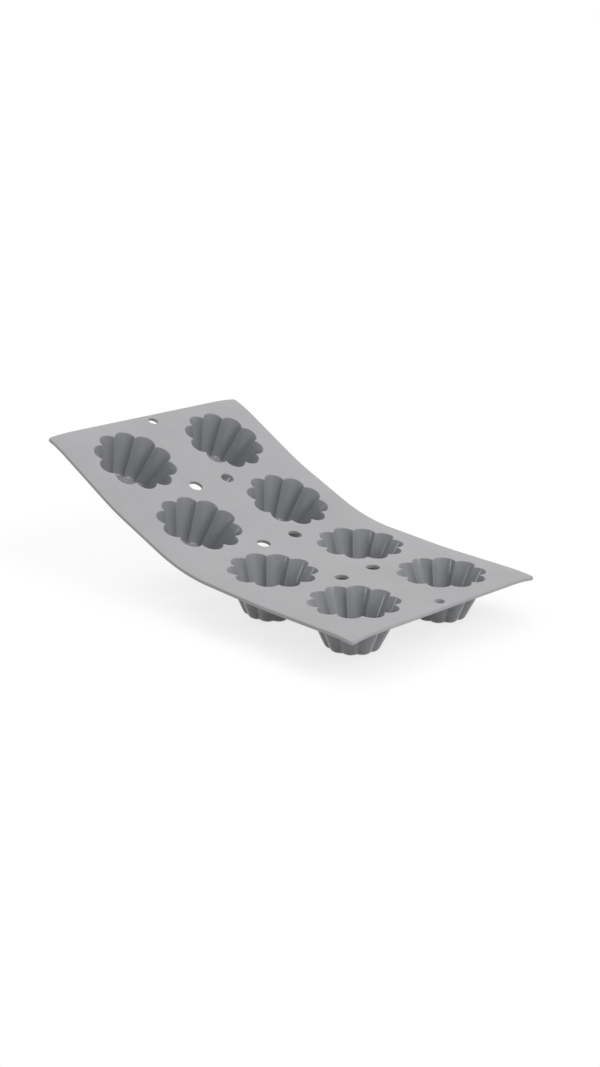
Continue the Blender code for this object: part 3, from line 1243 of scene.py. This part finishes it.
class SheetPiece(Piece):
    """A length of the sheet: its two level faces, its edges and the walls of its holes.

    `side_pitch` spaces the points of its long sides, and `face_pitch` those of its level
    faces. Its borders with the next piece have the edge's own pitch, as that piece has too.
    """

    edge = SheetEdge()
    side_pitch = SheetEdge.pitch
    face_pitch = SheetEdge.pitch

    def outline(
        self, low_u: float, high_u: float, low_free: bool, high_free: bool
    ) -> tuple[np.ndarray, np.ndarray]:
        """Trace the piece's outline, with its free corners rounded.

        Args:
            low_u: Where the piece starts along the sheet.
            high_u: Where it ends.
            low_free: Whether its start is the sheet's own end.
            high_free: Whether its end is the sheet's own end.

        Returns:
            The outline's points, and for each the way into the material.
        """
        plan, edge = self.sheet.plan, self.edge
        half = plan.half_width
        corners = (
            (high_u, half, 0, high_free, (-1.0, -1.0)),
            (low_u, half, 90, low_free, (1.0, -1.0)),
            (low_u, -half, 180, low_free, (1.0, 1.0)),
            (high_u, -half, 270, high_free, (-1.0, 1.0)),
        )
        side_clear = plan.corner if low_free or high_free else 0.0
        points: list[tuple[float, float]] = []
        inward: list[tuple[float, float]] = []
        for number, (u, v, start, free, (into_u, into_v)) in enumerate(corners):
            if free:
                for step in range(edge.corner_segments + 1):
                    turn = math.radians(start + 90 * step / edge.corner_segments)
                    out_u, out_v = math.cos(turn), math.sin(turn)
                    corner_u = u + (into_u + out_u) * plan.corner
                    corner_v = v + (into_v + out_v) * plan.corner
                    points.append((corner_u, corner_v))
                    inward.append((-out_u, -out_v))
            else:
                points.append((u, v))
                inward.append((0.0, into_v))
            next_u, next_v = corners[(number + 1) % len(corners)][:2]
            if next_v == v:
                places = self.spaced(u, next_u, side_clear, self.side_pitch)
                points += [(place, v) for place in places]
                inward += [(0.0, into_v)] * len(places)
            else:
                places = self.spaced(v, next_v, plan.corner, edge.pitch)
                points += [(u, place) for place in places]
                inward += [(into_u if free else 0.0, 0.0)] * len(places)
        return np.array(points), np.array(inward)

    def spaced(self, start: float, end: float, corner: float, pitch: float) -> np.ndarray:
        """Space places evenly between two corners, without the corners themselves.

        Args:
            start: The first corner.
            end: The second corner.
            corner: How much of the run each corner's round takes up.
            pitch: The spacing that is aimed at.

        Returns:
            The places, from the first corner's side on.
        """
        sign = math.copysign(1.0, end - start)
        steps = max(2, round((abs(end - start) - 2 * corner) / pitch))
        return np.linspace(start + sign * corner, end - sign * corner, steps + 1)[1:-1]

    def solid(
        self,
        borders: tuple[float, float],
        free: tuple[bool, bool],
        walls: list[FlatMesh],
        holes: list[tuple[np.ndarray, np.ndarray]],
    ) -> bpy.types.Mesh:
        """Model a length of the sheet in the flat state.

        Args:
            borders: Where it starts and ends along the sheet.
            free: Whether each of those is the sheet's own end.
            walls: Meshes of the holes' walls, in place.
            holes: For each hole, its ring on the upper face and its ring on the lower one.

        Returns:
            The closed mesh.
        """
        points, inward = self.outline(*borders, *free)
        rings = self.edge.rings(points, inward, self.edge.outer_round, self.sheet.plan.thickness)
        upper = [rings[0], *[above for above, _ in holes]]
        lower = [rings[-1], *[below for _, below in holes]]
        parts = [
            FlatMesh.band(rings),
            *walls,
            filled(upper, self.face_pitch),
            filled(lower, self.face_pitch),
        ]
        return FlatMesh.joined(parts).to_mesh(self.name)


class DeckPanel(SheetPiece):
    """The stiff length of the sheet round one column of cups."""

    def __init__(self, column: int, section: CupSection, sheet: BentSheet) -> None:
        """Name the panel by its column.

        Args:
            column: Its column, from 0 at the lifted end.
            section: The section of every cup.
            sheet: The sheet that it is laid along.
        """
        number = column + 1
        super().__init__(f"sheet_panel_{number}", f"deck_panel_{number}", MATT_DECK, sheet)
        self.column = column
        self.section = section

    def build(self, repeater: RepeatTree, material: bpy.types.Material) -> bpy.types.Object:
        """Model the panel with its two cup mouths and, at an end, its hanging hole.

        Args:
            repeater: The tree that repeats the mouths across the sheet.
            material: The panel's material.

        Returns:
            The finished panel.
        """
        plan = self.sheet.plan
        last = plan.columns - 1
        low_free, high_free = self.column == 0, self.column == last
        low_u = 0.0 if low_free else plan.bend_lines[self.column - 1] + plan.seam
        high_u = plan.length if high_free else plan.bend_lines[self.column] - plan.seam
        middle = plan.column_centres[self.column]
        meeting_rings = (self.section.rim()[-1], self.section.underside()[0])
        mouth = np.array([self.mouth_ring(ring) for ring in meeting_rings])
        mouths = repeater.repeat(
            FlatMesh.band(mouth), Copies=2, Spacing=2 * plan.row_offset, Weld=WELD, Finish=material
        )
        walls = [FlatMesh.from_mesh(mouths).moved(middle, 0.0)]
        holes = []
        for row in Row:
            at_row = mouth + (middle, row.value * plan.row_offset, 0.0)
            holes.append((at_row[0], at_row[1]))
        if low_free or high_free:
            place = plan.hanging_inset if low_free else plan.length - plan.hanging_inset
            collar = self.edge.collar(plan.hanging_diameter, plan.thickness) + (place, 0.0, 0.0)
            walls.append(FlatMesh.band(collar))
            holes.append((collar[0], collar[-1]))
        mesh = self.solid((low_u, high_u), (low_free, high_free), walls, holes)
        borders = [place for place, free in ((low_u, low_free), (high_u, high_free)) if not free]
        return self.lay(mesh, material, hidden_faces(mesh, borders, plan.thickness))

    def mouth_ring(self, ring: tuple[float, float, float]) -> np.ndarray:
        """Points where the cup's rim or underside meets the panel, about the cup's axis."""
        outline = self.section.flutes.outline(*ring)
        return np.column_stack([outline, np.full(len(outline), -ring[0])])


class Web(SheetPiece):
    """The strip between two columns that flexes, with its two round vents.

    Its mesh is finer than a panel's, so that it bends smoothly along the curve. `ends` finds two
    lines that lie `bend_inset` within its borders.
    """

    side_pitch = 0.8 * MM
    face_pitch = 1.2 * MM
    bend_inset = 0.15 * MM

    def __init__(self, bend: int, sheet: BentSheet) -> None:
        """Name the web by its bend.

        Args:
            bend: Its bend, from 0 at the lifted end.
            sheet: The sheet that it is laid along.
        """
        super().__init__(f"flexing_web_{bend + 1}", f"web_{bend + 1}", MATT_DECK, sheet)
        self.bend = bend

    def build(self, repeater: RepeatTree, material: bpy.types.Material) -> bpy.types.Object:
        """Model the web.

        Args:
            repeater: The tree that repeats the vents along the web.
            material: The web's material.

        Returns:
            The finished web.
        """
        plan = self.sheet.plan
        line = plan.bend_lines[self.bend]
        collar = self.edge.collar(plan.vent_diameter, plan.thickness)
        vents = repeater.repeat(
            FlatMesh.band(collar),
            Copies=2,
            Spacing=2 * plan.vent_from_middle,
            Weld=WELD,
            Finish=material,
        )
        holes = []
        for row in Row:
            in_place = collar + (line, row.value * plan.vent_from_middle, 0.0)
            holes.append((in_place[0], in_place[-1]))
        borders = (line - plan.seam, line + plan.seam)
        walls = [FlatMesh.from_mesh(vents).moved(line, 0.0)]
        mesh = self.solid(borders, (False, False), walls, holes)
        return self.lay(mesh, material, hidden_faces(mesh, list(borders), plan.thickness))

    def ends(self) -> list[np.ndarray]:
        """Find two lines that lie just within the web's borders.

        Returns:
            A point of the frame on each of the two lines, in the middle of the sheet.
        """
        plan = self.sheet.plan
        line, reach = plan.bend_lines[self.bend], plan.seam - self.bend_inset
        places = [[line + side * reach, 0.0, -plan.thickness / 2] for side in (-1, 1)]
        return list(self.sheet.lay(np.array(places)))


@dataclass(frozen=True)
class Mould:
    """The whole mould: four panels, three webs and eight cups."""

    sheet: BentSheet
    section: CupSection = CupSection()

    def build(self) -> None:
        """Make every piece, and set each panel and cup to move with its body."""
        repeater = RepeatTree()
        deck = MATT_DECK.material()
        # The cups' darker colour is painted shade of their hollows.
        satin = SHADED_SATIN_CUP.material()
        flutes = self.section.flutes
        whole = repeater.repeat(
            self.section.one_flute(),
            Copies=flutes.lobes,
            Turn=2 * flutes.half_flute,
            Weld=WELD,
            Finish=satin,
        )
        flat_cup = FlatMesh.from_mesh(whole).to_mesh("flat_cup")
        for column in range(self.sheet.plan.columns):
            body = f"panel_{column + 1}"
            panel = DeckPanel(column, self.section, self.sheet)
            made = [(panel, panel.build(repeater, deck))]
            for row in Row:
                cup = Cup(column, row, self.section, self.sheet)
                made.append((cup, cup.build(flat_cup, satin)))
            for piece, built in made:
                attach(built, body)
                piece.stand_for_node(built)
        for bend in range(self.sheet.plan.columns - 1):
            web = Web(bend, self.sheet)
            built = web.build(repeater, deck)
            start, end = web.ends()
            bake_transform(built)
            web.stand_for_node(built)


@dataclass(frozen=True)
class Lamp:
    """A broad, distant lamp, which lights the whole floor evenly.

    `turn` is how far round it stands from the camera's side, to the right, `height` how high
    it stands above the floor, and `width` how wide it looks from the object, all in degrees.
    `level` is how brightly it shows a white face that is square to it.
    """

    name: str
    turn: float
    height: float
    width: float
    level: float

    def hang(self, azimuth: float) -> None:
        """Hang the lamp.

        Args:
            azimuth: The camera's azimuth, in degrees.
        """
        lamp = bpy.data.lights.new(self.name, "SUN")
        lamp.angle = math.radians(self.width)
        lamp.energy = self.level * math.pi
        holder = bpy.data.objects.new(self.name, lamp)
        bpy.context.scene.collection.objects.link(holder)
        bearing, rise = math.radians(azimuth + self.turn), math.radians(self.height)
        level = math.cos(rise)
        towards = Vector((level * math.sin(bearing), -level * math.cos(bearing), math.sin(rise)))
        holder.location = towards
        holder.rotation_euler = (-towards).to_track_quat("-Z", "Y").to_euler()


@dataclass(frozen=True)
class Studio:
    """A white floor under soft light, and the camera at the photo's angle.

    Azimuth 0 looks along +Y, and a positive azimuth swings the camera to the right. Angles
    are in degrees, and the lens and its sensor in millimetres. `floor_clear` is how much of
    the white behind the floor shows through it: the first where the object is closest, the
    second further from it than `contact_reach`.
    """

    camera_place: tuple[float, float, float] = (0.80092, -0.81309, 0.41220)
    azimuth: float = 44.059
    elevation: float = 18.048
    roll: float = 1.567
    lens: float = 59.887
    sensor: float = 36.0
    floor_size: float = 40.0
    floor_gap: float = 0.2 * MM
    floor_paper: str = "D4D4D4"
    floor_shadow: str = "666666"
    floor_clear: tuple[float, float] = (0.74, 0.89)
    contact_reach: float = 40.0 * MM
    contact_samples: int = 8
    even_light: float = 0.48
    lamps: tuple[Lamp, ...] = (
        Lamp("right_lamp", turn=62.0, height=44.0, width=30.0, level=0.42),
        Lamp("back_lamp", turn=190.0, height=48.0, width=40.0, level=0.18),
        Lamp("left_lamp", turn=277.0, height=19.0, width=7.0, level=0.055),
    )

    def build(self) -> None:
        """Set up the floor, the light and the camera."""
        scene = bpy.context.scene
        scene.view_settings.view_transform = "Standard"
        self.light_world(scene)
        self.lay_floor()
        for lamp in self.lamps:
            lamp.hang(self.azimuth)
        self.place_camera(scene)

    def light_world(self, scene: bpy.types.Scene) -> None:
        """Surround the object with even light, and show white to the camera and in gloss.

        Args:
            scene: The scene.
        """
        world = bpy.data.worlds.new("studio_white")
        world.use_nodes = True
        tree = world.node_tree
        tree.nodes.clear()
        even, shown = (
            add_node(tree, "ShaderNodeBackground", {"Color": linear(WHITE), "Strength": strength})
            for strength in (self.even_light, 1.0)
        )
        mixed = add_node(
            tree,
            "ShaderNodeMixShader",
            {0: self.seen(tree), 1: even.outputs[0], 2: shown.outputs[0]},
        )
        add_node(tree, "ShaderNodeOutputWorld", {"Surface": mixed.outputs[0]})
        scene.world = world

    def seen(self, tree: bpy.types.NodeTree) -> bpy.types.NodeSocket:
        """Say which rays show the white background: the camera's, and those of gloss and glass.

        Args:
            tree: The world's tree, or the floor's.

        Returns:
            1 for those rays, and 0 for all others.
        """
        rays = add_node(tree, "ShaderNodeLightPath").outputs
        shown = rays["Is Camera Ray"]
        for kind in ("Is Glossy Ray", "Is Transmission Ray"):
            shown = add_node(
                tree, "ShaderNodeMath", {0: shown, 1: rays[kind]}, operation="MAXIMUM"
            ).outputs[0]
        return shown

    def lay_floor(self) -> None:
        """Lay the floor: white paper that keeps the object's soft shadow.

        Where it is seen, the paper is thin enough to let the white behind it show through,
        and less so close to the object, where real paper lies in contact shade. Where it
        only throws light back at the object, it is plain paper.
        """
        half = self.floor_size / 2
        mesh = bpy.data.meshes.new("floor")
        corners = [(-half, -half), (half, -half), (half, half), (-half, half)]
        mesh.from_pydata([(x, y, -self.floor_gap) for x, y in corners], [], [(0, 1, 2, 3)])
        material = bpy.data.materials.new("white_paper")
        material.use_nodes = True
        tree = material.node_tree
        tree.nodes.clear()
        paper, shadow = (
            add_node(tree, "ShaderNodeBsdfDiffuse", {"Color": linear(colour)})
            for colour in (self.floor_paper, self.floor_shadow)
        )
        contact = add_node(
            tree,
            "ShaderNodeAmbientOcclusion",
            {"Distance": self.contact_reach},
            samples=self.contact_samples,
        )
        near, far = self.floor_clear
        clear = add_node(
            tree,
            "ShaderNodeMapRange",
            {"Value": contact.outputs["AO"], "To Min": near, "To Max": far},
        )
        through = add_node(tree, "ShaderNodeBsdfTransparent", {"Color": clear.outputs["Result"]})
        thin = add_node(tree, "ShaderNodeAddShader", {0: shadow.outputs[0], 1: through.outputs[0]})
        mixed = add_node(
            tree,
            "ShaderNodeMixShader",
            {0: self.seen(tree), 1: paper.outputs[0], 2: thin.outputs[0]},
        )
        add_node(tree, "ShaderNodeOutputMaterial", {"Surface": mixed.outputs[0]})
        mesh.materials.append(material)
        floor = bpy.data.objects.new("floor", mesh)
        bpy.context.scene.collection.objects.link(floor)

    def place_camera(self, scene: bpy.types.Scene) -> None:
        """Put the camera where the photo was taken from.

        Args:
            scene: The scene.
        """
        azimuth, elevation = math.radians(self.azimuth), math.radians(self.elevation)
        level = Matrix.Rotation(azimuth, 3, "Z") @ Matrix.Rotation(math.pi / 2 - elevation, 3, "X")
        turned = level @ Matrix.Rotation(math.radians(self.roll), 3, "Z")
        camera = bpy.data.cameras.new("photo_camera")
        camera.lens = self.lens
        camera.sensor_width = self.sensor
        holder = bpy.data.objects.new("photo_camera", camera)
        bpy.context.scene.collection.objects.link(holder)
        holder.matrix_world = Matrix.Translation(self.camera_place) @ turned.to_4x4()
        scene.camera = holder


def main() -> None:
    """Build the mould and the studio."""
    logging.basicConfig(level=logging.INFO, format="%(name)s: %(message)s")
    placing_bend = 1
    name = f"bend_{placing_bend + 1}"
    joint = next(joint for joint in frame["joints"] if joint["name"] == name)
    sheet = BentSheet.on_joint(SheetPlan(), joint, placing_bend)
    Mould(sheet).build()
    Studio().build()


if __name__ == "__main__":
    main()
